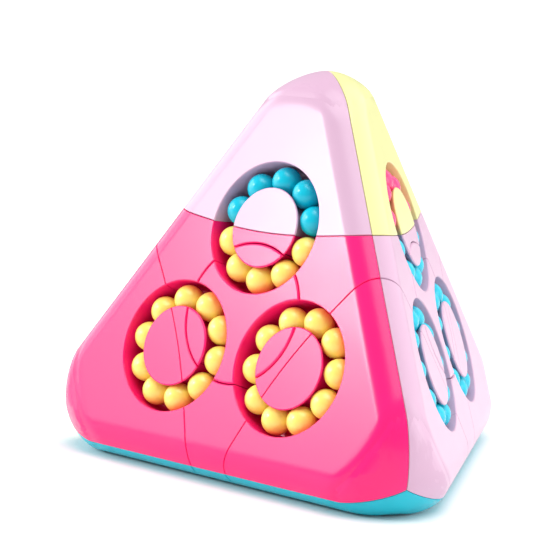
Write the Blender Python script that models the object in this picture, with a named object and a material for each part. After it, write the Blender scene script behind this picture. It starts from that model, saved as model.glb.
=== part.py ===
"""Pyramid twisty puzzle with bead rings, as a set of separate solids.

The puzzle is a rounded tetrahedron.  Each of its four faces carries three round tracks of ten
beads.  Four corner caps turn on shallow cones about the vertex axes, and every bead ring slides
round its own track.  Run with: blender --background --python part.py

Units are metres, +Z up.  The origin is the middle of the flat base, so the solid's centre sits
at (0, 0, INRADIUS).  Shapes that repeat are drawn once, in the place of the top corner and the
front face, and copied by the twelve rotations of a tetrahedron.
"""
import math
import bmesh
import bpy
from mathutils import Matrix, Vector

MM = 0.001

# ---- driving dimensions ---------------------------------------------------------------------
INRADIUS = 28.7 * MM            # centre of the solid to each face
RING_OFFSET = 20.3 * MM         # middle of a face to the middle of each of its rings
BEAD_RADIUS = 3.48 * MM
BEADS_PER_RING = 10
RING_RADIUS = 11.70 * MM        # circle on which the bead centres lie
RING_DEPTH = 3.7 * MM           # bead centres below the face
BEAD_LINK_RADIUS = 1.1 * MM     # thin link that holds a string of beads together
BEAD_BELT = math.radians(50)    # latitude of the outer facets' edge on a bead
HOLE_RADIUS = 15.5 * MM         # outer wall of a track
DISC_RADIUS = 9.46 * MM         # round island inside a track
DISC_LIP = 0.65 * MM            # thickness of the island's overhanging rim
STEM_RADIUS = 7.85 * MM         # waist of the island beside the beads
STEM_TOP = 2.3 * MM
TRACK_FLOOR = 7.9 * MM
SLAB_DEPTH = 10.0 * MM          # thickness of the coloured shells
SEAM = 0.3 * MM                 # gap between neighbouring pieces
PLUG_SEAM_RADIUS = 16.45 * MM   # seam round the middle of a face
CUT_HEIGHT = 23.84 * MM         # cone that parts a cap from the rest: height on the axis ...
CUT_SLOPE = 0.18                # ... and rise per unit of radius

# Rounding of the outer skin.  Each blend starts this far inside its limit; a power of 2 is round,
# and a power of 1 is a flat chamfer.
EDGE_BLEND = 10.0 * MM
EDGE_POWER = 1.9
TIP_HEIGHT = 64.30 * MM         # centre of the solid to each domed tip
TIP_CURVE = 28.0 * MM           # radius of the dome at its top
TIP_BLEND = 4.0 * MM
TIP_POWER = 2.0
DOME_DEPTH = 28.0 * MM          # the skin is scored finely this far below a sharp tip

# Skeleton
HUB_RADIUS = 9.5 * MM
ARM_RADIUS = 4.0 * MM
ARM_END = 23.5 * MM
POST_RADIUS = 5.0 * MM
PLATE_RADIUS = 19.0 * MM
PLATE_THICKNESS = 2.2 * MM
SCREW_RADIUS = 1.3 * MM
SCREW_BORE = 1.7 * MM
SCREW_BOTTOM = 14.0 * MM
SCREW_HEAD_RADIUS = 2.9 * MM
SCREW_HEAD_BASE = 33.6 * MM
SCREW_HEAD_HEIGHT = 2.4 * MM
SLOT_WIDTH = 0.9 * MM
SLOT_DEPTH = 1.2 * MM
CARRIER_TOP = 30.0 * MM
CARRIER_RADIUS = 10.0 * MM
CARRIER_TOP_RADIUS = 8.8 * MM
SPRING_SEAT_RADIUS = 3.1 * MM
SPRING_SEAT = 27.4 * MM
SPRING_COIL_RADIUS = 2.25 * MM
SPRING_WIRE_RADIUS = 0.3 * MM
SPRING_TURNS = 4

# Facet counts
TRACK_SEGMENTS = 24
PLUG_SEGMENTS = 30
CONE_SEGMENTS = 36
PLATE_SEGMENTS = 18
ARM_SEGMENTS = 12
SCREW_SEGMENTS = 10
BEAD_SIDES = 6
SPRING_SIDES = 4
SPRING_STEPS = 8                # per turn

FAR = 120 * MM                  # reach of cutting shapes, past the whole solid
CLEAR = 3 * MM                  # how far a cutting shape stands past the face that it opens

# ---- directions -----------------------------------------------------------------------------
CENTRE = Vector((0, 0, INRADIUS))
TIP_SPREAD = math.sqrt(8) / 3


def base_tip(azimuth):
    turn = math.radians(azimuth)
    return Vector((TIP_SPREAD * math.cos(turn), TIP_SPREAD * math.sin(turn), -1 / 3))


TIPS = {"top": Vector((0, 0, 1)), "left": base_tip(210), "right": base_tip(330), "back": base_tip(90)}
# Each face is named by the tip that it lies opposite to.
FACES = {"front": "back", "rightside": "left", "leftside": "right", "base": "top"}

# ---- colours --------------------------------------------------------------------------------
COLOURS = {
    "pink": (0.95, 0.16, 0.38),
    "blush": (0.86, 0.70, 0.80),
    "yellow": (0.93, 0.88, 0.42),
    "cyan": (0.02, 0.55, 0.66),
    "bead_yellow": (0.95, 0.78, 0.20),
    "bead_cyan": (0.02, 0.66, 0.80),
    "bead_pink": (0.95, 0.20, 0.45),
    "bead_blush": (0.90, 0.62, 0.74),
    "black": (0.03, 0.03, 0.035),
    "steel": (0.60, 0.60, 0.62),
}
FACE_COLOUR = {"front": "pink", "rightside": "blush", "leftside": "yellow", "base": "cyan"}
BEAD_COLOUR = {"front": "bead_yellow", "rightside": "bead_cyan", "leftside": "bead_pink",
               "base": "bead_blush"}
# The top cap has been turned a third of a turn, so it shows its neighbours' colours.
TURNED = {"front": "rightside", "rightside": "leftside", "leftside": "front"}


def face_normal(face):
    return -TIPS[FACES[face]]


def tips_of(face):
    return [tip for tip in TIPS if tip != FACES[face]]


def home_face(tip, face):
    """The face whose colours a cap piece on this face has."""
    return TURNED[face] if tip == "top" else face


def rotation_to(tip, face):
    """The rotation that carries the top corner and the front face to the ones named."""
    def basis(axis, normal):
        side = axis.cross(normal).normalized()
        return Matrix((axis, side, axis.cross(side))).transposed()
    source = basis(TIPS["top"], face_normal("front"))
    target = basis(TIPS[tip], face_normal(face))
    return target @ source.transposed()


# ---- making and cutting meshes --------------------------------------------------------------
def clear_scene():
    for thing in list(bpy.data.objects):
        bpy.data.objects.remove(thing, do_unlink=True)


def material(name, colour, roughness=0.25, metallic=0.0):
    mat = bpy.data.materials.new(name)
    mat.use_nodes = True
    shader = mat.node_tree.nodes["Principled BSDF"]
    shader.inputs["Base Color"].default_value = (*COLOURS[colour], 1)
    shader.inputs["Roughness"].default_value = roughness
    shader.inputs["Metallic"].default_value = metallic
    return mat


def finished_mesh(bm, name):
    mesh = bpy.data.meshes.new(name)
    bmesh.ops.recalc_face_normals(bm, faces=bm.faces)
    bm.to_mesh(mesh)
    bm.free()
    return mesh


def scratch_object(bm):
    thing = bpy.data.objects.new("scratch", finished_mesh(bm, "scratch"))
    bpy.context.scene.collection.objects.link(thing)
    return thing


def carve(blank, steps, name):
    """Apply (operation, cutter) Booleans to an object, remove them all and return the mesh."""
    for operation, cutter in steps:
        cut = blank.modifiers.new("cut", "BOOLEAN")
        cut.operation = operation
        cut.object = cutter
        cut.solver = "EXACT"
    graph = bpy.context.evaluated_depsgraph_get()
    graph.update()
    mesh = bpy.data.meshes.new_from_object(blank.evaluated_get(graph))
    bm = bmesh.new()
    bm.from_mesh(mesh)
    bmesh.ops.remove_doubles(bm, verts=bm.verts, dist=1e-6)
    bmesh.ops.dissolve_degenerate(bm, edges=bm.edges, dist=1e-6)
    bmesh.ops.dissolve_limit(bm, angle_limit=math.radians(0.2), verts=bm.verts, edges=bm.edges)
    bmesh.ops.triangulate(bm, faces=bm.faces)
    bm.to_mesh(mesh)
    bm.free()
    mesh.name = name
    for thing in [blank] + [cutter for _, cutter in steps]:
        bpy.data.objects.remove(thing, do_unlink=True)
    return mesh


def tube(bm, rings):
    """Join rings of points in turn and close both ends."""
    for ring, beyond in zip(rings, rings[1:]):
        for side in range(len(ring)):
            after = (side + 1) % len(ring)
            bm.faces.new((ring[side], ring[after], beyond[after], beyond[side]))
    bm.faces.new(rings[0])
    bm.faces.new(rings[-1])


def lathe(profile, segments, frame=Matrix.Identity(4), phase=0.0):
    """Turn a closed list of (radius, height) points about the frame's Z axis."""
    bm = bmesh.new()
    rings = []
    for radius, height in profile:
        if radius == 0:
            rings.append([bm.verts.new((0, 0, height))])
            continue
        ring = []
        for step in range(segments):
            turn = phase + 2 * math.pi * step / segments
            ring.append(bm.verts.new((radius * math.cos(turn), radius * math.sin(turn), height)))
        rings.append(ring)
    for lower, upper in zip(rings, rings[1:] + rings[:1]):
        for step in range(segments):
            after = (step + 1) % segments
            corners = [lower[step % len(lower)], lower[after % len(lower)],
                       upper[after % len(upper)], upper[step % len(upper)]]
            corners = list(dict.fromkeys(corners))
            if len(corners) > 2:
                bm.faces.new(corners)
    bm.transform(frame)
    return scratch_object(bm)


def keep_inside(bm, point, outward):
    """Cut a convex mesh by a plane and close it again."""
    everything = bm.verts[:] + bm.edges[:] + bm.faces[:]
    cut = bmesh.ops.bisect_plane(bm, geom=everything, plane_co=point, plane_no=outward,
                                 clear_outer=True, dist=1e-7)
    rim = [edge for edge in cut["geom_cut"] if isinstance(edge, bmesh.types.BMEdge)]
    bmesh.ops.contextual_create(bm, geom=rim)


# ---- the outer skin -------------------------------------------------------------------------
def skin_excess(point):
    """Below zero inside the skin: the faces and the domed tips, blended smoothly."""
    total = 0.0
    for tip in TIPS.values():
        along = tip.dot(point)
        beyond_face = EDGE_BLEND - INRADIUS - along
        total += max(0.0, beyond_face / EDGE_BLEND) ** EDGE_POWER
        if along > INRADIUS:
            drop = (point - tip * along).length_squared / (2 * TIP_CURVE)
            beyond_tip = along + drop - TIP_HEIGHT + TIP_BLEND
            total += max(0.0, beyond_tip / TIP_BLEND) ** TIP_POWER
    return total - 1


def onto_skin(point):
    """Pull a point straight towards the centre until it lies on the skin."""
    low = 0.2
    high = 1.0
    for _ in range(40):
        middle = (low + high) / 2
        if skin_excess(point * middle) > 0:
            high = middle
        else:
            low = middle
    return point * low


def rounded_solid():
    """A tetrahedron, scored along its edges and tips and then pulled in onto the skin."""
    bm = bmesh.new()
    corners = [bm.verts.new(3 * INRADIUS * tip) for tip in TIPS.values()]
    for skipped in range(4):
        bm.faces.new([corner for place, corner in enumerate(corners) if place != skipped])
    for tip in TIPS.values():
        scores = [EDGE_BLEND * share - INRADIUS for share in (0.2, 0.5, 1.0)]
        scores += [3 * INRADIUS - DOME_DEPTH * share for share in (0.2, 0.45, 0.7, 1.0)]
        for height in scores:
            everything = bm.verts[:] + bm.edges[:] + bm.faces[:]
            bmesh.ops.bisect_plane(bm, geom=everything, plane_co=tip * height, plane_no=tip,
                                   dist=1e-7)
    for vert in bm.verts:
        vert.co = onto_skin(vert.co)
    bmesh.ops.remove_doubles(bm, verts=bm.verts, dist=1e-5)
    bmesh.ops.triangulate(bm, faces=bm.faces)
    bmesh.ops.dissolve_limit(bm, angle_limit=math.radians(0.2), verts=bm.verts, edges=bm.edges)
    bmesh.ops.triangulate(bm, faces=[face for face in bm.faces if len(face.verts) > 4])
    bmesh.ops.recalc_face_normals(bm, faces=bm.faces)
    return bm


# ---- cutting shapes -------------------------------------------------------------------------
def cap_cone(tip, gap):
    """Everything above a cap's conical seam, moved up by gap."""
    profile = [(0, CUT_HEIGHT + gap), (FAR, CUT_HEIGHT + gap + CUT_SLOPE * FAR), (0, FAR)]
    face = next(name for name in FACES if FACES[name] != tip)
    frame = rotation_to(tip, face).to_4x4()
    return lathe(profile, CONE_SEGMENTS, frame, math.radians(30))


def ring_frame(tip, face):
    """Origin where a ring's axis meets the face, Z outward and X towards the tip."""
    normal = face_normal(face)
    toward = (TIPS[tip] - normal * normal.dot(TIPS[tip])).normalized()
    frame = Matrix((toward, normal.cross(toward), normal)).transposed().to_4x4()
    frame.translation = normal * INRADIUS + toward * RING_OFFSET
    return frame


def track_cutter(tip, face):
    """The groove that a ring of beads runs in, undercut below the island's rim."""
    profile = [(HOLE_RADIUS, CLEAR), (HOLE_RADIUS, -TRACK_FLOOR), (STEM_RADIUS, -TRACK_FLOOR),
               (STEM_RADIUS, -STEM_TOP), (DISC_RADIUS, -DISC_LIP), (DISC_RADIUS, CLEAR)]
    return lathe(profile, TRACK_SEGMENTS, ring_frame(tip, face), math.pi / TRACK_SEGMENTS)


def face_frame(face):
    frame = ring_frame(tips_of(face)[0], face)
    frame.translation = face_normal(face) * INRADIUS
    return frame


def face_slab(sides):
    """The front face's share of the solid, a slab deep, cut back from the ridges named."""
    bm = rounded_solid()
    normal = face_normal("front")
    keep_inside(bm, normal * (INRADIUS - SLAB_DEPTH), -normal)
    for first, second in sides:
        across = TIPS[first].cross(TIPS[second]).normalized()
        if across.dot(normal) > 0:
            across = -across
        keep_inside(bm, -across * SEAM / 2, across)
    return scratch_object(bm)


# ---- meshes of the repeated pieces ----------------------------------------------------------
def shell_mesh():
    """One coloured shell of a cap: top corner, front face."""
    blank = face_slab([("top", "left"), ("top", "right")])
    steps = [("INTERSECT", cap_cone("top", SEAM / 2)), ("DIFFERENCE", track_cutter("top", "front"))]
    return carve(blank, steps, "cap_shell")


def frame_mesh():
    """The fixed edge pieces of a face, joined under its tracks."""
    corners = tips_of("front")
    blank = face_slab(zip(corners, corners[1:] + corners[:1]))
    cutters = [cap_cone(tip, -SEAM / 2) for tip in corners]
    cutters += [track_cutter(tip, "front") for tip in corners]
    radius = PLUG_SEAM_RADIUS + SEAM / 2
    bore = [(0, -SLAB_DEPTH - CLEAR), (radius, -SLAB_DEPTH - CLEAR), (radius, CLEAR), (0, CLEAR)]
    cutters.append(lathe(bore, PLUG_SEGMENTS, face_frame("front")))
    return carve(blank, [("DIFFERENCE", cutter) for cutter in cutters], "face_frame")


def plug_mesh():
    """The round middle of a face."""
    radius = PLUG_SEAM_RADIUS - SEAM / 2
    profile = [(0, -SLAB_DEPTH), (radius, -SLAB_DEPTH), (radius, 0), (0, 0)]
    blank = lathe(profile, PLUG_SEGMENTS, face_frame("front"))
    steps = [("DIFFERENCE", track_cutter(tip, "front")) for tip in tips_of("front")]
    return carve(blank, steps, "face_plug")


def belt_ring(bm, turn, first, pitch, width):
    """A ring of points round a bead string, in the plane through the ring's axis at this turn."""
    off_bead = (turn - first + pitch / 2) % pitch - pitch / 2
    reach = RING_RADIUS * math.cos(off_bead)
    ring = []
    for side in range(BEAD_SIDES):
        lean = 2 * math.pi * side / BEAD_SIDES
        out = reach + width * math.cos(lean)
        spot = (out * math.cos(turn), out * math.sin(turn), width * math.sin(lean))
        ring.append(bm.verts.new(spot))
    return ring


def string_mesh(first, name):
    """Five beads in a row along a ring, joined by thin links.  Drawn about the ring's axis."""
    pitch = 2 * math.pi / BEADS_PER_RING
    end = math.acos(BEAD_LINK_RADIUS / BEAD_RADIUS)

    def station(bead, latitude):
        turn = math.asin(BEAD_RADIUS * math.sin(latitude) / RING_RADIUS)
        return first + bead * pitch + turn, BEAD_RADIUS * math.cos(latitude)

    last = BEADS_PER_RING // 2 - 1
    stations = [station(0, -end)]
    for bead in range(last + 1):
        stations += [station(bead, latitude) for latitude in (-BEAD_BELT, 0, BEAD_BELT)]
        if bead < last:
            stations.append((first + (bead + 0.5) * pitch, BEAD_LINK_RADIUS))
    stations.append(station(last, end))
    bm = bmesh.new()
    tube(bm, [belt_ring(bm, turn, first, pitch, width) for turn, width in stations])
    return finished_mesh(bm, name)


def carrier_mesh():
    """The hidden base of a cap: it rides on the skeleton's arm and holds the three shells."""
    low = CUT_HEIGHT + SEAM / 2
    profile = [(SCREW_BORE, low + CUT_SLOPE * SCREW_BORE),
               (CARRIER_RADIUS, low + CUT_SLOPE * CARRIER_RADIUS),
               (CARRIER_TOP_RADIUS, CARRIER_TOP), (SPRING_SEAT_RADIUS, CARRIER_TOP),
               (SPRING_SEAT_RADIUS, SPRING_SEAT), (SCREW_BORE, SPRING_SEAT)]
    return carve(lathe(profile, PLATE_SEGMENTS), [], "cap_carrier")


def screw_mesh():
    """A pan-head screw that holds a cap on its arm."""
    head_top = SCREW_HEAD_BASE + SCREW_HEAD_HEIGHT
    chamfer = 0.6 * MM
    profile = [(0, SCREW_BOTTOM), (SCREW_RADIUS / 2, SCREW_BOTTOM),
               (SCREW_RADIUS, SCREW_BOTTOM + chamfer), (SCREW_RADIUS, SCREW_HEAD_BASE),
               (SCREW_HEAD_RADIUS, SCREW_HEAD_BASE), (SCREW_HEAD_RADIUS, head_top - chamfer),
               (SCREW_HEAD_RADIUS - chamfer, head_top), (0, head_top)]
    bm = bmesh.new()
    bmesh.ops.create_cube(bm, size=1)
    bmesh.ops.scale(bm, vec=(SLOT_WIDTH, 4 * SCREW_HEAD_RADIUS, 2 * SLOT_DEPTH), verts=bm.verts)
    bmesh.ops.translate(bm, vec=(0, 0, head_top), verts=bm.verts)
    steps = [("DIFFERENCE", scratch_object(bm))]
    return carve(lathe(profile, SCREW_SEGMENTS), steps, "cap_screw")


def spring_mesh():
    """A compression spring between the screw's head and the carrier."""
    bottom = SPRING_SEAT + SEAM + SPRING_WIRE_RADIUS
    top = SCREW_HEAD_BASE - SEAM - SPRING_WIRE_RADIUS
    count = SPRING_STEPS * SPRING_TURNS
    bm = bmesh.new()
    rings = []
    for step in range(count + 1):
        turn = 2 * math.pi * step / SPRING_STEPS
        outward = Vector((math.cos(turn), math.sin(turn), 0))
        middle = outward * SPRING_COIL_RADIUS + Vector((0, 0, bottom + (top - bottom) * step / count))
        ring = []
        for side in range(SPRING_SIDES):
            lean = 2 * math.pi * side / SPRING_SIDES
            offset = outward * math.cos(lean) + Vector((0, 0, math.sin(lean)))
            ring.append(bm.verts.new(middle + offset * SPRING_WIRE_RADIUS))
        rings.append(ring)
    tube(bm, rings)
    return finished_mesh(bm, "cap_spring")


def core_mesh():
    """The skeleton: a hub, four arms to the tips and four plates behind the faces."""
    half = ARM_SEGMENTS // 2
    hub = [(0, -HUB_RADIUS)]
    for step in range(1, half):
        lean = math.pi * step / half
        hub.append((HUB_RADIUS * math.sin(lean), -HUB_RADIUS * math.cos(lean)))
    hub.append((0, HUB_RADIUS))
    steps = []
    start = 2 * MM
    plate_top = INRADIUS - SLAB_DEPTH - SEAM
    plate_low = plate_top - PLATE_THICKNESS
    for face, tip in FACES.items():
        facing = TIPS[tip].to_track_quat("Z", "Y").to_matrix().to_4x4()
        arm = [(0, start), (ARM_RADIUS, start), (ARM_RADIUS, ARM_END), (0, ARM_END)]
        steps.append(("UNION", lathe(arm, ARM_SEGMENTS, facing)))
        facing = face_normal(face).to_track_quat("Z", "Y").to_matrix().to_4x4()
        plate = [(0, start), (POST_RADIUS, start), (POST_RADIUS, plate_low), (PLATE_RADIUS, plate_low),
                 (PLATE_RADIUS, plate_top), (0, plate_top)]
        steps.append(("UNION", lathe(plate, PLATE_SEGMENTS, facing)))
    for tip in TIPS.values():
        facing = tip.to_track_quat("Z", "Y").to_matrix().to_4x4()
        floor = SCREW_BOTTOM - SEAM
        bore = [(0, floor), (SCREW_BORE, floor), (SCREW_BORE, FAR), (0, FAR)]
        steps.append(("DIFFERENCE", lathe(bore, SCREW_SEGMENTS, facing)))
    return carve(lathe(hub, ARM_SEGMENTS), steps, "core")


# ---- assembly -------------------------------------------------------------------------------
def empty(name, place, parent=None):
    holder = bpy.data.objects.new(name, None)
    holder.empty_display_size = 5 * MM
    bpy.context.scene.collection.objects.link(holder)
    if parent is not None:
        holder.parent = parent
    holder.matrix_local = place
    return holder


def put(name, mesh, finish, parent, place=Matrix.Identity(4)):
    """Place a copy of a mesh under an empty, in a material of its own."""
    thing = bpy.data.objects.new(name, mesh)
    bpy.context.scene.collection.objects.link(thing)
    thing.parent = parent
    thing.matrix_local = place
    if not mesh.materials:
        mesh.materials.append(None)
    thing.material_slots[0].link = "OBJECT"
    thing.material_slots[0].material = finish
    return thing


def smooth(mesh, degrees=30):
    mesh.shade_smooth()
    mesh.set_sharp_from_angle(angle=math.radians(degrees))
    return mesh


def build():
    clear_scene()
    shell = smooth(shell_mesh())
    frame = smooth(frame_mesh())
    plug = smooth(plug_mesh())
    carrier = smooth(carrier_mesh())
    screw = smooth(screw_mesh())
    spring = smooth(spring_mesh())
    pitch = 2 * math.pi / BEADS_PER_RING
    cap_string = smooth(string_mesh(-2 * pitch, "cap_string"), 60)
    lower_string = smooth(string_mesh(3 * pitch, "lower_string"), 60)

    heart = empty("puzzle_centre", Matrix.Translation(CENTRE))
    put("core", smooth(core_mesh()), material("core", "black", 0.5), heart)
    sink = Matrix.Translation((0, 0, -RING_DEPTH))

    for face in FACES:
        turn = rotation_to(tips_of(face)[0], face).to_4x4()
        if face == "front":
            turn = Matrix.Identity(4)
        colour = FACE_COLOUR[face]
        put(f"{face}_frame", frame, material(f"{face}_frame", colour), heart, turn)
        put(f"{face}_plug", plug, material(f"{face}_plug", colour), heart, turn)
        for tip in tips_of(face):
            axis = empty(f"{tip}_{face}_lower_ring_axis", ring_frame(tip, face) @ sink, heart)
            name = f"{tip}_{face}_lower_beads"
            put(name, lower_string, material(name, BEAD_COLOUR[face], 0.15), axis)

    for tip in TIPS:
        cap = empty(f"{tip}_cap_axis", Matrix.Identity(4), heart)
        faces = [face for face in FACES if FACES[face] != tip]
        upright = rotation_to(tip, faces[0]).to_4x4()
        name = f"{tip}_cap_carrier"
        put(name, carrier, material(name, "black", 0.5), cap, upright)
        name = f"{tip}_cap_spring"
        put(name, spring, material(name, "steel", 0.3, 1.0), cap, upright)
        name = f"{tip}_cap_screw"
        put(name, screw, material(name, "steel", 0.3, 1.0), heart, upright)
        for face in faces:
            shown = home_face(tip, face)
            name = f"{tip}_{face}_cap_shell"
            turn = rotation_to(tip, face).to_4x4()
            put(name, shell, material(name, FACE_COLOUR[shown]), cap, turn)
            axis = empty(f"{tip}_{face}_cap_ring_axis", ring_frame(tip, face) @ sink, cap)
            name = f"{tip}_{face}_cap_beads"
            put(name, cap_string, material(name, BEAD_COLOUR[shown], 0.15), axis)


build()
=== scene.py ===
"""Pyramid bead puzzle: the visible model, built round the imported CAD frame.

Every visible shell is rebuilt finely with softened seams and track rims, and each ring gets ten
separate glossy beads.  The pieces are worked out for the top corner and the front face, about the
solid's centre, and turned into place.  Units are metres.
"""
import math
import random
import bmesh
import bpy
import numpy as np
from mathutils import Matrix, Vector


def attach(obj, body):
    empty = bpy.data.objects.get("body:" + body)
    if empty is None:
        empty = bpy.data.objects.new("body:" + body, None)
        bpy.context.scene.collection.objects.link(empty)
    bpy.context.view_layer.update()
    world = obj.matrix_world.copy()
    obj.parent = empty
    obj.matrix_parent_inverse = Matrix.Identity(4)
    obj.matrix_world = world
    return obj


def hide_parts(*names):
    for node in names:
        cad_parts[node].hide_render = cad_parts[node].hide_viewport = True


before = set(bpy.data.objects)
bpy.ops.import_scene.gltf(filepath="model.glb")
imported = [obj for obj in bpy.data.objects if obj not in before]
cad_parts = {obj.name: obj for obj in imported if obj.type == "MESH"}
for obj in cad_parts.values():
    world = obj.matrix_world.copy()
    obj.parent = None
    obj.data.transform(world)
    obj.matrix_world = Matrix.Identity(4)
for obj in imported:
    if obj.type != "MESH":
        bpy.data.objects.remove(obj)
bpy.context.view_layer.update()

MM = 0.001

# ---- the design's dimensions, as in the CAD model --------------------------------------------
INRADIUS = 28.7 * MM
RING_OFFSET = 20.3 * MM
BEAD_RADIUS = 3.48 * MM
BEADS_PER_RING = 10
RING_RADIUS = 11.70 * MM
RING_DEPTH = 3.7 * MM
HOLE_RADIUS = 15.5 * MM
DISC_RADIUS = 9.46 * MM
DISC_LIP = 0.65 * MM
STEM_RADIUS = 7.85 * MM
STEM_TOP = 2.3 * MM
TRACK_FLOOR = 7.9 * MM
SLAB_DEPTH = 10.0 * MM
PLUG_SEAM_RADIUS = 16.45 * MM
CUT_HEIGHT = 23.84 * MM
CUT_SLOPE = 0.18
EDGE_BLEND = 10.0 * MM
EDGE_POWER = 1.9
TIP_HEIGHT = 64.30 * MM
TIP_CURVE = 28.0 * MM
TIP_BLEND = 4.0 * MM
TIP_POWER = 2.0
DOME_DEPTH = 28.0 * MM

# ---- finer detail that only the visible model has ---------------------------------------------
PLUG_SEAM = 0.20 * MM           # gap round a plug
PLUG_ROUND = 0.48 * MM          # rounding of the edges along that gap
CAP_SEAM = 0.09 * MM            # gap under a cap
RIDGE_SEAM = 0.05 * MM          # gap along a ridge
SEAM_ROUND = 0.36 * MM          # rounding of the edges along those two
RIM_ROUND = 0.40 * MM           # rounding of a track's rim and of an island's rim
RIM_TANGENT = 6                 # degrees by which a rounding cuts past the surface it ends on
FLOOR_ROUND = 0.9 * MM
LIP_INSET = 0.12 * MM           # draft of an island's lip
SKIN_ALLOWANCE = 0.09 * MM      # keeps the fine skin inside the faceted one's box

# ---- how the shading bends --------------------------------------------------------------------
EDGE_EASE = 0.16                # share of a ridge's fillet over which its shading eases in
CORNER_REACH = 1.2              # fillet widths before a fillet where it starts to merge with others
CORNER_POWER = 3.0              # sharpness of a flat's corner, where two fillets merge
CORNER_FADE = 0.45              # share of a fillet over which that merging fades out again
TIP_EASE = 0.45                 # share of a domed tip's bend over which its shading eases in
TIP_LEAD = 3.0 * MM             # how far before a dome its shading starts to bend
FLAT_SCORES = (0.1, 0.22, 0.36, 0.55, 0.8, 1.2)     # cuts across the flats, in fillet widths
TIP_SCORES = [(52 + step) * MM for step in range(10)]

# ---- fineness ---------------------------------------------------------------------------------
EDGE_SCORES = 13                # strips across each half of a ridge's fillet
DOME_SCORES = 14                # rings round each domed tip
TRACK_SEGMENTS = 96
CONE_SEGMENTS = 144
CONE_EDGE_SPOTS = 360
RIDGE_SPOTS = 241
BEAD_SEGMENTS = 48
BEAD_RINGS = 30
FLAT_ANGLE = math.radians(0.05) # faces that bend less than this are merged
SHARP_ANGLE = math.radians(32)  # edges that bend more than this are shaded as hard ones
MERGE = 2e-6                    # points closer than this are merged
FAR = 120 * MM

# ---- camera and surfaces ----------------------------------------------------------------------
CAMERA_AZIMUTH = math.radians(40.325)
CAMERA_HEIGHT = math.radians(10.122)
CAMERA_ROLL = math.radians(2.10)
CAMERA_DISTANCE = 0.558
CAMERA_LENS = 155.0
AIM_SHIFT = Vector((-9.43, -5.28, 15.18)) * MM      # from the solid's centre
FLOW_SCALE = 30                 # faint flow marks and waves in the plastic
HAZE_SCALE = 130                # patches of handling
GRAIN_SCALE = 900

# ---- directions -------------------------------------------------------------------------------
CENTRE = Vector((0, 0, INRADIUS))
TIP_SPREAD = math.sqrt(8) / 3


def base_tip(azimuth):
    turn = math.radians(azimuth)
    return Vector((TIP_SPREAD * math.cos(turn), TIP_SPREAD * math.sin(turn), -1 / 3))


TIPS = {"top": Vector((0, 0, 1)), "left": base_tip(210), "right": base_tip(330), "back": base_tip(90)}
FACES = {"front": "back", "rightside": "left", "leftside": "right", "base": "top"}
TIP_ROWS = np.array([tuple(tip) for tip in TIPS.values()])

FACE_COLOUR = {"front": "pink", "rightside": "blush", "leftside": "yellow", "base": "cyan"}
BEAD_COLOUR = {"front": "bead_yellow", "rightside": "bead_cyan", "leftside": "bead_pink",
               "base": "bead_blush"}
TURNED = {"front": "rightside", "rightside": "leftside", "leftside": "front"}


def face_normal(face):
    return -TIPS[FACES[face]]


def tips_of(face):
    return [tip for tip in TIPS if tip != FACES[face]]


def home_face(tip, face):
    """The face whose colours a cap piece on this face has: the top cap is turned a third."""
    return TURNED[face] if tip == "top" else face


def rotation_to(tip, face):
    """The rotation that carries the top corner and the front face to the ones named."""
    def basis(axis, normal):
        side = axis.cross(normal).normalized()
        return Matrix((axis, side, axis.cross(side))).transposed()
    source = basis(TIPS["top"], face_normal("front"))
    return basis(TIPS[tip], face_normal(face)) @ source.transposed()


def ring_frame(tip, face):
    """Origin where a ring's axis meets the face, Z outward and X towards the tip."""
    normal = face_normal(face)
    toward = (TIPS[tip] - normal * normal.dot(TIPS[tip])).normalized()
    place = Matrix((toward, normal.cross(toward), normal)).transposed().to_4x4()
    place.translation = normal * INRADIUS + toward * RING_OFFSET
    return place


def face_frame(face):
    place = ring_frame(tips_of(face)[0], face)
    place.translation = face_normal(face) * INRADIUS
    return place


# ---- the outer skin ---------------------------------------------------------------------------
def skin_excess(points):
    """Below zero inside the skin, for an array of points."""
    along = points @ TIP_ROWS.T
    beyond_face = np.maximum(0, (EDGE_BLEND - INRADIUS - along) / EDGE_BLEND)
    drop = ((points ** 2).sum(-1)[:, None] - along ** 2) / (2 * TIP_CURVE)
    beyond_tip = np.maximum(0, (along + drop - TIP_HEIGHT + TIP_BLEND) / TIP_BLEND)
    beyond_tip = np.where(along > INRADIUS, beyond_tip, 0)
    return (beyond_face ** EDGE_POWER).sum(-1) + (beyond_tip ** TIP_POWER).sum(-1) - 1


def skin_slopes(points):
    """The gradient of skin_excess, for an array of points."""
    step = 0.002 * MM
    slopes = [skin_excess(points + step * axis) - skin_excess(points - step * axis)
              for axis in np.eye(3)]
    return np.stack(slopes, axis=1) / (2 * step)


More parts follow.
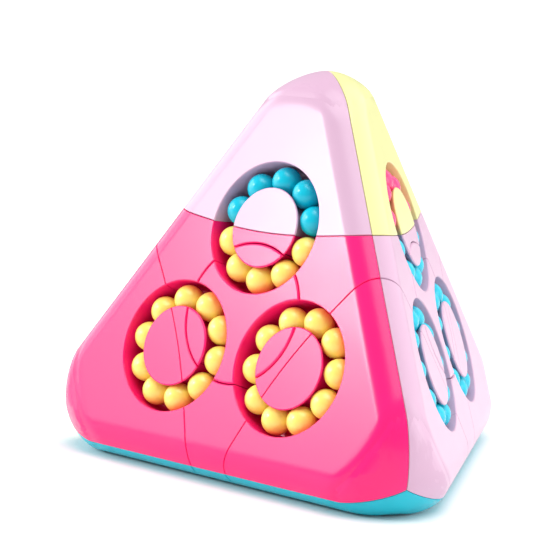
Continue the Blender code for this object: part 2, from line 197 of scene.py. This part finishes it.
def eased_normals(points):
    """The skin's normals, with bends that come in softly and merge at a flat's corners."""
    along = points @ TIP_ROWS.T
    edge = (EDGE_BLEND - INRADIUS - along) / EDGE_BLEND
    own = np.eye(4, dtype=bool)[edge.argmax(axis=1)]
    near = np.where(own, 0, np.maximum(0, edge + CORNER_REACH))
    merged = (near ** CORNER_POWER).sum(axis=1, keepdims=True) ** (1 / CORNER_POWER)
    share = (near / np.maximum(merged, 1e-9)) ** (CORNER_POWER - 1)
    bend = np.clip(merged - CORNER_REACH, 0, 1)
    edge = np.clip(edge, 0, 1)
    true_pull = edge ** (EDGE_POWER - 1) * np.where(own, 1, ease(edge / EDGE_EASE))
    soft_pull = np.where(own, true_pull, share * bend ** (EDGE_POWER - 1) * ease(bend / EDGE_EASE))
    well_in = ease(np.where(own, 0, edge).max(axis=1, keepdims=True) / CORNER_FADE)
    edge_pull = soft_pull + (true_pull - soft_pull) * well_in
    edge_pull *= EDGE_POWER / EDGE_BLEND
    outward = points[:, None, :] - along[:, :, None] * TIP_ROWS
    drop = (outward ** 2).sum(-1) / (2 * TIP_CURVE)
    start = TIP_HEIGHT - TIP_BLEND - TIP_LEAD
    tip = np.where(along > INRADIUS, (along + drop - start) / (TIP_BLEND + TIP_LEAD), 0)
    tip = np.clip(tip, 0, 1)
    tip_pull = TIP_POWER * tip ** (TIP_POWER - 1) / TIP_BLEND * ease(tip / TIP_EASE)
    slope = (tip_pull - edge_pull)[:, :, None] * TIP_ROWS + tip_pull[:, :, None] * outward / TIP_CURVE
    return unit(slope.sum(axis=1))


def unit(rows):
    return rows / np.maximum(np.linalg.norm(rows, axis=1, keepdims=True), 1e-12)


def ease(share):
    share = np.clip(share, 0, 1)
    return share * share * (3 - 2 * share)


def skin_normal(point):
    return Vector(skin_slopes(np.array([tuple(point)]))[0]).normalized()


def first_outside(points_at, low, high):
    """Bisect each row's parameter for the place where it leaves the skin."""
    for _ in range(45):
        middle = (low + high) / 2
        outside = skin_excess(points_at(middle)) > 0
        high = np.where(outside, middle, high)
        low = np.where(outside, low, middle)
    return low


def onto_skin(points):
    count = len(points)
    share = first_outside(lambda t: points * t[:, None], np.full(count, 0.2), np.full(count, 1.0))
    reach = np.linalg.norm(points, axis=1) * share
    allowed = np.where(skin_excess(points) > 1e-9, 1 - SKIN_ALLOWANCE / reach, 1.0)
    return points * (share * allowed)[:, None]


def rounded_solid():
    """A tetrahedron, scored finely along its edges and tips and pulled in onto the skin."""
    bm = bmesh.new()
    corners = [bm.verts.new(3 * INRADIUS * tip) for tip in TIPS.values()]
    for skipped in range(4):
        bm.faces.new([corner for place, corner in enumerate(corners) if place != skipped])
    # The scores lie closer together where the fillet starts and ends.
    edges = [0.5 - 0.5 * math.cos(math.pi * step / EDGE_SCORES) for step in range(1, EDGE_SCORES + 1)]
    scores = [EDGE_BLEND * share - INRADIUS for share in edges]
    scores += [3 * INRADIUS - DOME_DEPTH * (step + 1) / DOME_SCORES for step in range(DOME_SCORES)]
    for tip in TIPS.values():
        for height in scores:
            everything = bm.verts[:] + bm.edges[:] + bm.faces[:]
            bmesh.ops.bisect_plane(bm, geom=everything, plane_co=tip * height, plane_no=tip,
                                   dist=1e-7)
    spots = onto_skin(np.array([tuple(vert.co) for vert in bm.verts]))
    for vert, spot in zip(bm.verts, spots):
        vert.co = spot
    bmesh.ops.remove_doubles(bm, verts=bm.verts, dist=1e-6)
    bent = [face for face in bm.faces if len(face.verts) > 3]
    bmesh.ops.connect_verts_nonplanar(bm, angle_limit=FLAT_ANGLE, faces=bent)
    bmesh.ops.dissolve_limit(bm, angle_limit=FLAT_ANGLE, verts=bm.verts, edges=bm.edges)
    bmesh.ops.recalc_face_normals(bm, faces=bm.faces)
    return bm


# ---- making and cutting meshes ----------------------------------------------------------------
def scratch_object(bm, name="scratch"):
    mesh = bpy.data.meshes.new(name)
    bmesh.ops.recalc_face_normals(bm, faces=bm.faces)
    bm.to_mesh(mesh)
    bm.free()
    thing = bpy.data.objects.new(name, mesh)
    bpy.context.scene.collection.objects.link(thing)
    return thing


def discard(things):
    for thing in things:
        bpy.data.objects.remove(thing, do_unlink=True)


def evaluated_mesh(thing):
    graph = bpy.context.evaluated_depsgraph_get()
    graph.update()
    return bpy.data.meshes.new_from_object(thing.evaluated_get(graph))


def settle_normals(thing):
    """Shade smooth, keep hard edges hard and let large flat faces decide the normals."""
    thing.data.shade_smooth()
    thing.data.set_sharp_from_angle(angle=SHARP_ANGLE)
    weighting = thing.modifiers.new("weighting", "WEIGHTED_NORMAL")
    weighting.mode = "FACE_AREA"
    weighting.weight = 50
    weighting.keep_sharp = True


def score_flats(bm):
    """Cut the flats near their corners, so that the shading can bend there."""
    heights = [EDGE_BLEND * (1 + share) - INRADIUS for share in FLAT_SCORES] + TIP_SCORES
    for tip in TIPS.values():
        for height in heights:
            everything = bm.verts[:] + bm.edges[:] + bm.faces[:]
            bmesh.ops.bisect_plane(bm, geom=everything, plane_co=tip * height, plane_no=tip, dist=MERGE)


def follow_skin(mesh):
    """Give every corner that lies on the outer skin the skin's own normal."""
    tolerance = 0.02 * MM
    agreement = math.cos(math.radians(8))
    spots = np.empty(len(mesh.vertices) * 3)
    mesh.vertices.foreach_get("co", spots)
    spots = spots.reshape(-1, 3)
    slopes = skin_slopes(spots)
    depth = -skin_excess(spots) / np.maximum(np.linalg.norm(slopes, axis=1), 1e-12)
    lies_on = (depth > -tolerance) & (depth < SKIN_ALLOWANCE + tolerance)
    true_normals = unit(slopes)
    eased = eased_normals(spots)
    normals = np.empty(len(mesh.loops) * 3)
    mesh.corner_normals.foreach_get("vector", normals)
    normals = normals.reshape(-1, 3)
    for polygon in mesh.polygons:
        used = list(polygon.vertices)
        facing = true_normals[used] @ np.array(polygon.normal)
        if lies_on[used].all() and facing.min() > agreement:
            normals[list(polygon.loop_indices)] = eased[used]
    mesh.normals_split_custom_set(normals.tolist())


def carve(blank, steps, name):
    """Apply (operation, cutter) Booleans to an object and return the finished mesh."""
    for operation, cutter in steps:
        cut = blank.modifiers.new("cut", "BOOLEAN")
        cut.operation = operation
        cut.object = cutter
        cut.solver = "EXACT"
    mesh = evaluated_mesh(blank)
    bm = bmesh.new()
    bm.from_mesh(mesh)
    bmesh.ops.remove_doubles(bm, verts=bm.verts, dist=MERGE)
    bmesh.ops.dissolve_degenerate(bm, edges=bm.edges, dist=MERGE)
    bmesh.ops.dissolve_limit(bm, angle_limit=FLAT_ANGLE, verts=bm.verts, edges=bm.edges)
    score_flats(bm)
    bm.to_mesh(mesh)
    bm.free()
    discard([blank] + [cutter for _, cutter in steps])
    holder = bpy.data.objects.new(name, mesh)
    bpy.context.scene.collection.objects.link(holder)
    settle_normals(holder)
    finished = evaluated_mesh(holder)
    follow_skin(finished)
    finished.name = name
    discard([holder])
    return finished


def lathe(profile, segments, place=Matrix.Identity(4), phase=0.0):
    """Turn a closed list of (radius, height) points about the frame's Z axis."""
    bm = bmesh.new()
    rings = []
    for radius, height in profile:
        if radius == 0:
            rings.append([bm.verts.new((0, 0, height))])
            continue
        ring = []
        for step in range(segments):
            turn = phase + 2 * math.pi * step / segments
            ring.append(bm.verts.new((radius * math.cos(turn), radius * math.sin(turn), height)))
        rings.append(ring)
    for lower, upper in zip(rings, rings[1:] + rings[:1]):
        for step in range(segments):
            after = (step + 1) % segments
            corners = [lower[step % len(lower)], lower[after % len(lower)],
                       upper[after % len(upper)], upper[step % len(upper)]]
            corners = list(dict.fromkeys(corners))
            if len(corners) > 2:
                bm.faces.new(corners)
    bm.transform(place)
    return scratch_object(bm)


def keep_inside(bm, point, outward):
    """Cut a convex mesh by a plane and close it again."""
    everything = bm.verts[:] + bm.edges[:] + bm.faces[:]
    cut = bmesh.ops.bisect_plane(bm, geom=everything, plane_co=point, plane_no=outward,
                                 clear_outer=True, dist=1e-7)
    rim = [edge for edge in cut["geom_cut"] if isinstance(edge, bmesh.types.BMEdge)]
    bmesh.ops.contextual_create(bm, geom=rim)


def arc(centre, radius, start, end, steps):
    """Points of a circular arc, with angles in degrees."""
    points = []
    for step in range(steps + 1):
        turn = math.radians(start + (end - start) * step / steps)
        points.append((centre[0] + radius * math.cos(turn), centre[1] + radius * math.sin(turn)))
    return points


# ---- cutting shapes ---------------------------------------------------------------------------
def track_cutter(tip, face):
    """The groove that a ring of beads runs in, with softened rims and rounded floor corners."""
    above = 3 * MM
    flare = RIM_ROUND
    hole_rim = arc((HOLE_RADIUS + flare, -flare), flare, 90 - RIM_TANGENT, 180, 6)
    floor_out = arc((HOLE_RADIUS - FLOOR_ROUND, -TRACK_FLOOR + FLOOR_ROUND), FLOOR_ROUND, 0, -90, 5)
    floor_in = arc((STEM_RADIUS + FLOOR_ROUND, -TRACK_FLOOR + FLOOR_ROUND), FLOOR_ROUND, 270, 180, 5)
    lip = [(STEM_RADIUS, -STEM_TOP), (DISC_RADIUS - LIP_INSET, -DISC_LIP)]
    disc_rim = arc((DISC_RADIUS - flare, -flare), flare, 0, 90 + RIM_TANGENT, 6)
    profile = [(HOLE_RADIUS + flare, above)] + hole_rim + floor_out + floor_in + lip + disc_rim
    profile.append((DISC_RADIUS - flare, above))
    return lathe(profile, TRACK_SEGMENTS, ring_frame(tip, face))


def cap_cone(tip, gap):
    """Everything above a cap's conical seam, moved up by gap."""
    profile = [(0, CUT_HEIGHT + gap), (FAR, CUT_HEIGHT + gap + CUT_SLOPE * FAR), (0, FAR)]
    face = next(name for name in FACES if FACES[name] != tip)
    return lathe(profile, CONE_SEGMENTS, rotation_to(tip, face).to_4x4(), math.radians(30))


def edge_rounder(corners, skin_normals, cut_normals, closed=False):
    """A sliver swept along an edge or a loop, which leaves it rounded when it is cut away."""
    radius = SEAM_ROUND
    clear = 0.8 * MM
    overshoot = 0.03
    steps = 5
    bm = bmesh.new()
    rings = []
    for corner, up, side in zip(corners, skin_normals, cut_normals):
        along_skin = -(side - up * side.dot(up)).normalized()
        along_cut = -(up - side * up.dot(side)).normalized()
        half = along_skin.angle(along_cut) / 2
        middle = corner + (along_skin + along_cut).normalized() * radius * (1 / math.sin(half) - overshoot)
        ring = []
        for step in range(steps + 1):
            out = side.slerp(up, step / steps)
            ring.append(bm.verts.new(middle + out * radius))
        ring.append(bm.verts.new(ring[-1].co + up * clear))
        ring.append(bm.verts.new(corner + (up + side) * clear))
        ring.append(bm.verts.new(ring[0].co + side * clear))
        rings.append(ring)
    count = len(rings[0])
    for ring, beyond in zip(rings, rings[1:] + rings[:1] if closed else rings[1:]):
        for place in range(count):
            after = (place + 1) % count
            bm.faces.new((ring[place], ring[after], beyond[after], beyond[place]))
    if not closed:
        bm.faces.new(rings[0])
        bm.faces.new(rings[-1])
    bmesh.ops.triangulate(bm, faces=bm.faces)
    return scratch_object(bm)


def cone_edge(tip, side):
    """Rounds the edge where a cap's conical seam meets the skin, on the cap (+1) or below it (-1)."""
    face = next(name for name in FACES if FACES[name] != tip)
    turn = rotation_to(tip, face)
    count = CONE_EDGE_SPOTS
    azimuths = np.linspace(0, 2 * math.pi, count, endpoint=False)
    level = CUT_HEIGHT + side * CAP_SEAM / 2
    carry = np.array(turn)

    def spots(radius):
        local = np.stack([radius * np.cos(azimuths), radius * np.sin(azimuths),
                          level + CUT_SLOPE * radius], axis=1)
        return local @ carry.T
    radius = first_outside(spots, np.full(count, 1 * MM), np.full(count, 70 * MM))
    corners = [Vector(spot) for spot in spots(radius)]
    skins = [skin_normal(corner) for corner in corners]
    cuts = []
    for azimuth in azimuths:
        down = Vector((CUT_SLOPE * math.cos(azimuth), CUT_SLOPE * math.sin(azimuth), -1)).normalized()
        cuts.append(turn @ (down * side))
    return edge_rounder(corners, skins, cuts, closed=True)


def mirror_plane(first, second, face):
    """Unit normal of the plane through two tips, pointing out of a face's share of the solid."""
    across = TIPS[first].cross(TIPS[second]).normalized()
    return -across if across.dot(face_normal(face)) > 0 else across


def ridge_edge(first, second, face):
    """Rounds the edge that a face's shell has along the ridge between two tips."""
    across = mirror_plane(first, second, face)
    onward = (TIPS[second] - TIPS[first] * TIPS[first].dot(TIPS[second])).normalized()
    start, end = math.radians(-8), math.radians(117)
    count = RIDGE_SPOTS
    turns = np.linspace(start, end, count)
    ways = np.outer(np.cos(turns), TIPS[first]) + np.outer(np.sin(turns), onward)
    shift = -np.array(across) * RIDGE_SEAM / 2

    def spots(reach):
        return ways * reach[:, None] + shift
    reach = first_outside(spots, np.full(count, 20 * MM), np.full(count, 80 * MM))
    corners = [Vector(spot) for spot in spots(reach)]
    return edge_rounder(corners, [skin_normal(corner) for corner in corners], [across] * count)


# ---- meshes of the repeated shells ------------------------------------------------------------
def face_blank(face, sides):
    """The skin's share of one face, a slab deep, cut by the mirror planes between pairs of tips."""
    bm = rounded_solid()
    normal = face_normal(face)
    keep_inside(bm, normal * (INRADIUS - SLAB_DEPTH), -normal)
    for first, second in sides:
        across = mirror_plane(first, second, face)
        keep_inside(bm, -across * RIDGE_SEAM / 2, across)
    return scratch_object(bm)


def shell_mesh():
    """One coloured shell of a cap: top corner, front face."""
    sides = [("top", "left"), ("top", "right")]
    steps = [("INTERSECT", cap_cone("top", CAP_SEAM / 2)), ("DIFFERENCE", track_cutter("top", "front")),
             ("DIFFERENCE", cone_edge("top", 1))]
    steps += [("DIFFERENCE", ridge_edge(first, second, "front")) for first, second in sides]
    return carve(face_blank("front", sides), steps, "cap_shell_mesh")


def frame_mesh():
    """The fixed edge pieces of a face, joined under its tracks."""
    corners = tips_of("front")
    sides = list(zip(corners, corners[1:] + corners[:1]))
    steps = []
    for tip in corners:
        steps.append(("DIFFERENCE", cap_cone(tip, -CAP_SEAM / 2)))
        steps.append(("DIFFERENCE", track_cutter(tip, "front")))
        steps.append(("DIFFERENCE", cone_edge(tip, -1)))
    steps += [("DIFFERENCE", ridge_edge(first, second, "front")) for first, second in sides]
    reach = 2 * MM
    radius = PLUG_SEAM_RADIUS + PLUG_SEAM / 2
    lip = arc((radius + PLUG_ROUND, -PLUG_ROUND), PLUG_ROUND, 90 - RIM_TANGENT, 180, 5)
    bore = [(0, reach), (radius + PLUG_ROUND, reach)] + lip + [(radius, -SLAB_DEPTH - reach),
                                                               (0, -SLAB_DEPTH - reach)]
    steps.append(("DIFFERENCE", lathe(bore, TRACK_SEGMENTS, face_frame("front"))))
    return carve(face_blank("front", sides), steps, "face_frame_mesh")


def plug_mesh():
    """The round middle of a face."""
    radius = PLUG_SEAM_RADIUS - PLUG_SEAM / 2
    lip = arc((radius - PLUG_ROUND, -PLUG_ROUND), PLUG_ROUND, 0, 90, 5)
    profile = [(0, -SLAB_DEPTH), (radius, -SLAB_DEPTH)] + lip + [(0, 0)]
    blank = lathe(profile, TRACK_SEGMENTS, face_frame("front"))
    steps = [("DIFFERENCE", track_cutter(tip, "front")) for tip in tips_of("front")]
    return carve(blank, steps, "face_plug_mesh")


def bead_mesh():
    """A moulded ball with a faint parting line and a small flat gate mark."""
    shrink = 0.02 * MM
    gate_flat = 0.05 * MM
    parting_rise, parting_width = 0.005, 0.03
    bm = bmesh.new()
    bmesh.ops.create_uvsphere(bm, u_segments=BEAD_SEGMENTS, v_segments=BEAD_RINGS,
                              radius=BEAD_RADIUS - shrink)
    for vert in bm.verts:
        height = vert.co.z / BEAD_RADIUS
        vert.co *= 1 + parting_rise * math.exp(-(height / parting_width) ** 2)
        vert.co.z = min(vert.co.z, BEAD_RADIUS - gate_flat)
    bmesh.ops.recalc_face_normals(bm, faces=bm.faces)
    mesh = bpy.data.meshes.new("bead_mesh")
    bm.to_mesh(mesh)
    bm.free()
    mesh.shade_smooth()
    return mesh


# ---- materials --------------------------------------------------------------------------------
class Shading:
    """A node material about to be built, with a few helpers to add nodes to it."""

    def __init__(self, name):
        self.material = bpy.data.materials.new(name)
        self.material.use_nodes = True
        self.nodes = self.material.node_tree.nodes
        self.links = self.material.node_tree.links
        self.shader = self.nodes["Principled BSDF"]
        self.place = self.add("ShaderNodeTexCoord").outputs["Object"]

    def add(self, kind, **settings):
        node = self.nodes.new(kind)
        for setting, value in settings.items():
            setattr(node, setting, value)
        return node

    def noise(self, scale, detail, source=None):
        node = self.add("ShaderNodeTexNoise")
        node.inputs["Scale"].default_value = scale
        node.inputs["Detail"].default_value = detail
        self.links.new(source or self.place, node.inputs["Vector"])
        return node.outputs["Fac"]

    def spread(self, source, low, high, out_low, out_high):
        node = self.add("ShaderNodeMapRange")
        for socket, value in (("From Min", low), ("From Max", high), ("To Min", out_low),
                              ("To Max", out_high)):
            node.inputs[socket].default_value = value
        self.links.new(source, node.inputs["Value"])
        return node.outputs["Result"]

    def blend(self, factor, first, second):
        node = self.add("ShaderNodeMix", data_type="RGBA")
        node.inputs["A"].default_value = (*first, 1)
        node.inputs["B"].default_value = (*second, 1)
        self.links.new(factor, node.inputs["Factor"])
        return node.outputs["Result"]

    def bump(self, height, distance, strength, under=None):
        node = self.add("ShaderNodeBump")
        node.inputs["Distance"].default_value = distance
        node.inputs["Strength"].default_value = strength
        self.links.new(height, node.inputs["Height"])
        if under:
            self.links.new(under, node.inputs["Normal"])
        return node.outputs["Normal"]

    def set(self, socket, value):
        if isinstance(value, (int, float, tuple)):
            self.shader.inputs[socket].default_value = value
        else:
            self.links.new(value, self.shader.inputs[socket])


def plastic(name, colour, shade, roughness, handled=1.0, gloss=0.30, coat=0.06):
    """Gloss moulded plastic: faint flow marks, a haze of handling, soft waves and a fine grain."""
    look = Shading(name)
    flow = look.noise(FLOW_SCALE, 1)
    haze = look.spread(look.noise(HAZE_SCALE, 3), 0.2, 0.8, roughness * 0.95, roughness * 1.06)
    look.set("Base Color", look.blend(look.spread(flow, 0.2, 0.85, 0.0, 1.0), colour, shade))
    look.set("Roughness", haze)
    waves = look.bump(flow, 0.3 * MM, 0.05 * handled)
    look.set("Normal", look.bump(look.noise(GRAIN_SCALE, 3), 0.03 * MM, 0.06 * handled, waves))
    look.set("IOR", 1.53)
    look.set("Specular IOR Level", gloss)
    look.set("Coat Weight", coat)
    look.set("Coat Roughness", 0.08)
    return look.material


def steel(name, colour, roughness):
    """Plated steel with fine turning marks."""
    look = Shading(name)
    grain = look.noise(GRAIN_SCALE, 2)
    look.set("Base Color", (*colour, 1))
    look.set("Metallic", 1.0)
    look.set("Roughness", look.spread(grain, 0.0, 1.0, roughness * 0.7, roughness * 1.4))
    look.set("Normal", look.bump(grain, 0.02 * MM, 0.15))
    return look.material


FINISHES = {
    "pink": plastic("pink_plastic", (0.95, 0.013, 0.185), (0.92, 0.010, 0.17), 0.23),
    "blush": plastic("blush_plastic", (0.61, 0.39, 0.53), (0.60, 0.382, 0.52), 0.29),
    "yellow": plastic("yellow_plastic", (0.75, 0.75, 0.33), (0.73, 0.72, 0.30), 0.25),
    "cyan": plastic("cyan_plastic", (0.004, 0.48, 0.60), (0.003, 0.45, 0.56), 0.23),
    "bead_yellow": plastic("bead_yellow", (0.99, 0.81, 0.17), (0.98, 0.78, 0.15), 0.31, 0.5, 0.60, 0.14),
    "bead_cyan": plastic("bead_cyan", (0.001, 0.53, 0.69), (0.001, 0.48, 0.64), 0.25, 0.5, 0.30, 0.11),
    "bead_pink": plastic("bead_pink", (0.93, 0.025, 0.20), (0.89, 0.018, 0.17), 0.27, 0.5, 0.45, 0.14),
    "bead_blush": plastic("bead_blush", (0.70, 0.45, 0.60), (0.67, 0.42, 0.57), 0.27, 0.5, 0.45, 0.14),
    "skeleton": plastic("skeleton_plastic", (0.03, 0.03, 0.035), (0.022, 0.022, 0.026), 0.42, 2.0),
    "steel": steel("plated_steel", (0.62, 0.62, 0.64), 0.28),
}


# ---- assembly ---------------------------------------------------------------------------------
def put(name, mesh, finish, place, body, node):
    """Place a turned copy of a mesh, give it a finish and let it ride and stand in for a CAD node."""
    copy = mesh.copy()
    copy.name = name
    copy.transform(place.to_3x3().to_4x4())
    copy.materials.clear()
    copy.materials.append(FINISHES[finish])
    thing = bpy.data.objects.new(name, copy)
    bpy.context.scene.collection.objects.link(thing)
    thing.location = CENTRE + place.translation
    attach(thing, body)
    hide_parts(node)


def build_shells():
    shell = shell_mesh()
    face_piece = frame_mesh()
    plug = plug_mesh()
    for face, colour in FACE_COLOUR.items():
        turn = rotation_to(tips_of(face)[0], face).to_4x4()
        put(f"{face}_frame_shell", face_piece, colour, turn, "root", f"{face}_frame")
        put(f"{face}_plug_shell", plug, colour, turn, "root", f"{face}_plug")
        for tip in tips_of(face):
            shown = FACE_COLOUR[home_face(tip, face)]
            put(f"{tip}_{face}_shell", shell, shown, rotation_to(tip, face).to_4x4(), f"{tip}_cap",
                f"{tip}_{face}_cap_shell")


def build_beads():
    bead = bead_mesh()
    chance = random.Random(7)
    pitch = 2 * math.pi / BEADS_PER_RING
    half = BEADS_PER_RING // 2
    for face in FACES:
        for tip in tips_of(face):
            for number in range(BEADS_PER_RING):
                in_cap = number < half
                part = "cap" if in_cap else "lower"
                shown = BEAD_COLOUR[home_face(tip, face) if in_cap else face]
                turn = (number - half // 2) * pitch
                spot = Vector((RING_RADIUS * math.cos(turn), RING_RADIUS * math.sin(turn), -RING_DEPTH))
                lean = Matrix.Rotation(chance.uniform(0, math.tau), 4, "X")
                roll = Matrix.Rotation(chance.uniform(0, math.tau), 4, "Z")
                place = ring_frame(tip, face) @ Matrix.Translation(spot) @ lean @ roll
                put(f"{tip}_{face}_{part}_bead_{number % half + 1}", bead, shown, place,
                    f"{tip}_{face}_{part}_string", f"{tip}_{face}_{part}_beads")


def finish_inside():
    """The hidden skeleton, carriers, screws and springs keep their CAD shapes."""
    for node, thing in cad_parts.items():
        inner = None
        if node == "core" or node.endswith("_carrier"):
            inner = "skeleton"
        if node.endswith(("_screw", "_spring")):
            inner = "steel"
        if inner:
            for slot in thing.material_slots:
                slot.material = FINISHES[inner]


# ---- studio -----------------------------------------------------------------------------------
def area_light(name, spot, size, watts):
    """A rectangular lamp that faces the solid's centre."""
    lamp = bpy.data.lights.new(name, "AREA")
    lamp.shape = "RECTANGLE"
    lamp.size, lamp.size_y = size
    lamp.energy = watts
    holder = bpy.data.objects.new(name, lamp)
    bpy.context.scene.collection.objects.link(holder)
    holder.location = spot
    holder.rotation_euler = (CENTRE - Vector(spot)).to_track_quat("-Z", "Y").to_euler()


def soft_sun(name, towards, strength, spread):
    """Even light over the whole floor from one direction, spread over some degrees of sky."""
    lamp = bpy.data.lights.new(name, "SUN")
    lamp.energy = strength
    lamp.angle = math.radians(spread)
    holder = bpy.data.objects.new(name, lamp)
    holder.rotation_euler = Vector(towards).to_track_quat("Z", "Y").to_euler()
    bpy.context.scene.collection.objects.link(holder)


def build_studio():
    bm = bmesh.new()
    bmesh.ops.create_circle(bm, cap_ends=True, segments=64, radius=6.0)
    floor = scratch_object(bm, "studio_floor")
    floor.location.z = -0.05 * MM
    paper = Shading("studio_paper")
    paper.set("Base Color", (0.90, 0.90, 0.90, 1))
    paper.set("Roughness", paper.spread(paper.noise(400, 2), 0.0, 1.0, 0.5, 0.6))
    floor.data.materials.append(paper.material)
    world = bpy.data.worlds.new("studio_world")
    world.use_nodes = True
    background = world.node_tree.nodes["Background"]
    background.inputs["Color"].default_value = (1, 1, 1, 1)
    background.inputs["Strength"].default_value = 0.40
    bpy.context.scene.world = world
    # The key gives the beads their small highlights, the sheen and the wall the broad ones on the flats.
    area_light("key", (-1.457, -1.735, 1.085), (0.40, 0.40), 17)
    area_light("sheen", (-1.90, -1.38, 0.884), (1.43, 1.62), 21)
    area_light("wall", (-2.376, -0.083, 0.80), (2.0, 1.5), 24)
    soft_sun("overhead", (0.20, -0.05, 0.98), 2.1, 50)
    soft_sun("behind", (0.35, 0.75, 0.55), 1.2, 75)
    area_light("right", (1.87, 0.88, 0.69), (1.2, 1.2), 15)


def build_camera():
    """A long lens at the photographed angle: azimuth and height about the solid's centre."""
    level = math.cos(CAMERA_HEIGHT)
    way = Vector((math.sin(CAMERA_AZIMUTH) * level, -math.cos(CAMERA_AZIMUTH) * level,
                  math.sin(CAMERA_HEIGHT)))
    spot = CENTRE + CAMERA_DISTANCE * way
    lens = bpy.data.cameras.new("camera")
    lens.sensor_width = 36
    lens.lens = CAMERA_LENS
    lens.clip_start = 0.01
    holder = bpy.data.objects.new("camera", lens)
    bpy.context.scene.collection.objects.link(holder)
    facing = (CENTRE + AIM_SHIFT - spot).to_track_quat("-Z", "Y").to_matrix().to_4x4()
    holder.matrix_world = Matrix.Translation(spot) @ facing @ Matrix.Rotation(CAMERA_ROLL, 4, "Z")
    bpy.context.scene.camera = holder
    bpy.context.scene.view_settings.view_transform = "Standard"


build_camera()
build_studio()
build_shells()
build_beads()
finish_inside()
